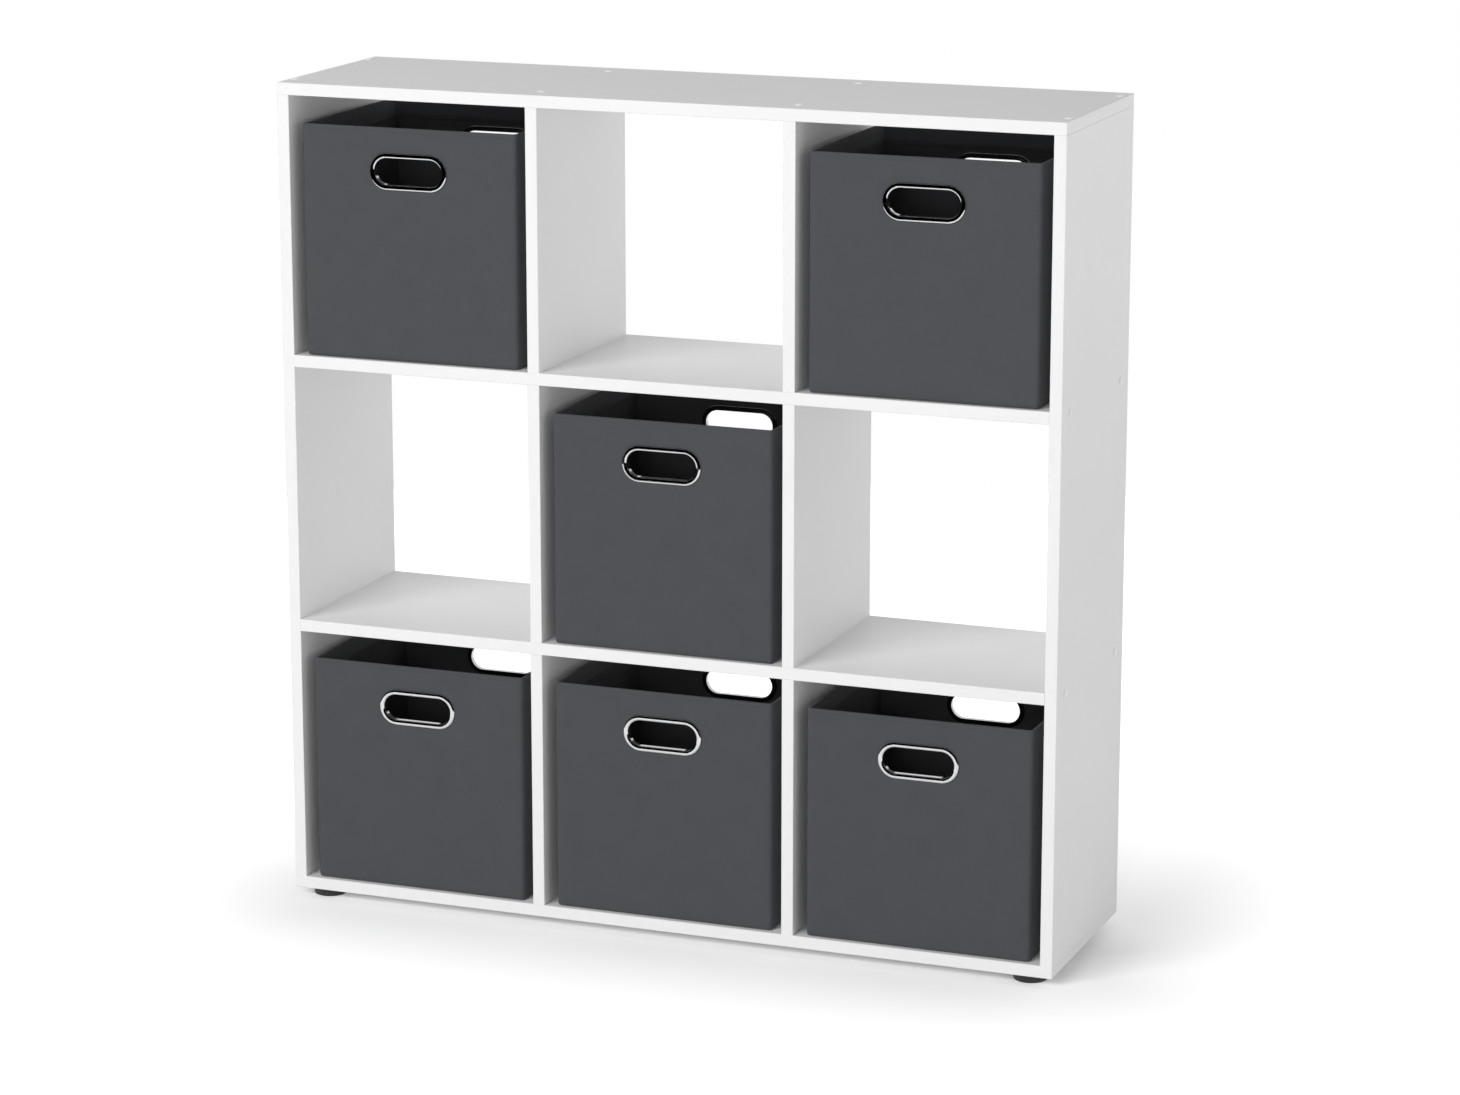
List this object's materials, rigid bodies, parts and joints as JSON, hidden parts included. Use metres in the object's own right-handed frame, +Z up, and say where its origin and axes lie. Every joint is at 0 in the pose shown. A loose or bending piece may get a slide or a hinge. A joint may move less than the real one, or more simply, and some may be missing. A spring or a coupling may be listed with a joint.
{
  "type": "cube storage unit",
  "caption": "Open-backed white cube storage unit on round black feet, with pull-out dark grey fabric bins that have stadium-shaped metal grip eyelets.",
  "frame": {"origin": "on the floor under the middle of the unit, in the plane of the foot soles", "axes": "+X to the viewer's right, +Y from the front to the back, +Z up"},
  "size_m": [1.0572, 0.29, 1.0916],
  "materials": {
    "white_board": "white melamine, satin",
    "grey_fabric": "dark grey non-woven fabric",
    "dark_lining": "near-black non-woven fabric",
    "pressed_board": "pressed board, raw",
    "covered_board": "pressed board covered in dark fabric",
    "bright_metal": "polished",
    "black_plastic": "black, matt",
    "white_plastic": "white, satin",
    "steel": "zinc plated",
    "beech": "raw"
  },
  "bodies": {
    "carcass": {"top_panel": "white_board", "bottom_panel": "white_board", "left_side_panel": "white_board", "right_side_panel": "white_board", "upper_shelf": "white_board", "lower_shelf": "white_board", "top_left_divider": "white_board", "top_right_divider": "white_board", "middle_left_divider": "white_board", "middle_right_divider": "white_board", "bottom_left_divider": "white_board", "bottom_right_divider": "white_board", "front_left_foot": "black_plastic", "front_right_foot": "black_plastic", "rear_left_foot": "black_plastic", "rear_right_foot": "black_plastic", "panel_screws": "steel", "screw_caps": "white_plastic", "dowels": "beech", "foot_screws": "steel"},
    "top_left_bin": {"top_left_bin_cover": "grey_fabric", "top_left_bin_lining": "dark_lining", "top_left_bin_wall_boards": "pressed_board", "top_left_bin_eyelets": "bright_metal", "top_left_bin_eyelet_washers": "bright_metal"},
    "top_left_bin_base": {"top_left_bin_base_board": "covered_board"},
    "top_right_bin": {"top_right_bin_cover": "grey_fabric", "top_right_bin_lining": "dark_lining", "top_right_bin_wall_boards": "pressed_board", "top_right_bin_eyelets": "bright_metal", "top_right_bin_eyelet_washers": "bright_metal"},
    "top_right_bin_base": {"top_right_bin_base_board": "covered_board"},
    "centre_bin": {"centre_bin_cover": "grey_fabric", "centre_bin_lining": "dark_lining", "centre_bin_wall_boards": "pressed_board", "centre_bin_eyelets": "bright_metal", "centre_bin_eyelet_washers": "bright_metal"},
    "centre_bin_base": {"centre_bin_base_board": "covered_board"},
    "bottom_left_bin": {"bottom_left_bin_cover": "grey_fabric", "bottom_left_bin_lining": "dark_lining", "bottom_left_bin_wall_boards": "pressed_board", "bottom_left_bin_eyelets": "bright_metal", "bottom_left_bin_eyelet_washers": "bright_metal"},
    "bottom_left_bin_base": {"bottom_left_bin_base_board": "covered_board"},
    "bottom_middle_bin": {"bottom_middle_bin_cover": "grey_fabric", "bottom_middle_bin_lining": "dark_lining", "bottom_middle_bin_wall_boards": "pressed_board", "bottom_middle_bin_eyelets": "bright_metal", "bottom_middle_bin_eyelet_washers": "bright_metal"},
    "bottom_middle_bin_base": {"bottom_middle_bin_base_board": "covered_board"},
    "bottom_right_bin": {"bottom_right_bin_cover": "grey_fabric", "bottom_right_bin_lining": "dark_lining", "bottom_right_bin_wall_boards": "pressed_board", "bottom_right_bin_eyelets": "bright_metal", "bottom_right_bin_eyelet_washers": "bright_metal"},
    "bottom_right_bin_base": {"bottom_right_bin_base_board": "covered_board"}
  },
  "joints": [
    {"name": "top_left_bin_pull", "type": "slide", "parent": "carcass", "child": "top_left_bin", "axis": [0, -1, 0], "range_m": [-0.3, 0.3]},
    {"name": "top_left_bin_base_lift", "type": "slide", "parent": "top_left_bin", "child": "top_left_bin_base", "axis": [0, 0, 1], "range_m": [0, 0.305]},
    {"name": "top_right_bin_pull", "type": "slide", "parent": "carcass", "child": "top_right_bin", "axis": [0, -1, 0], "range_m": [-0.3, 0.3]},
    {"name": "top_right_bin_base_lift", "type": "slide", "parent": "top_right_bin", "child": "top_right_bin_base", "axis": [0, 0, 1], "range_m": [0, 0.305]},
    {"name": "centre_bin_pull", "type": "slide", "parent": "carcass", "child": "centre_bin", "axis": [0, -1, 0], "range_m": [-0.3, 0.3]},
    {"name": "centre_bin_base_lift", "type": "slide", "parent": "centre_bin", "child": "centre_bin_base", "axis": [0, 0, 1], "range_m": [0, 0.305]},
    {"name": "bottom_left_bin_pull", "type": "slide", "parent": "carcass", "child": "bottom_left_bin", "axis": [0, -1, 0], "range_m": [-0.3, 0.3]},
    {"name": "bottom_left_bin_base_lift", "type": "slide", "parent": "bottom_left_bin", "child": "bottom_left_bin_base", "axis": [0, 0, 1], "range_m": [0, 0.305]},
    {"name": "bottom_middle_bin_pull", "type": "slide", "parent": "carcass", "child": "bottom_middle_bin", "axis": [0, -1, 0], "range_m": [-0.3, 0.3]},
    {"name": "bottom_middle_bin_base_lift", "type": "slide", "parent": "bottom_middle_bin", "child": "bottom_middle_bin_base", "axis": [0, 0, 1], "range_m": [0, 0.305]},
    {"name": "bottom_right_bin_pull", "type": "slide", "parent": "carcass", "child": "bottom_right_bin", "axis": [0, -1, 0], "range_m": [-0.3, 0.3]},
    {"name": "bottom_right_bin_base_lift", "type": "slide", "parent": "bottom_right_bin", "child": "bottom_right_bin_base", "axis": [0, 0, 1], "range_m": [0, 0.305]}
  ]
}
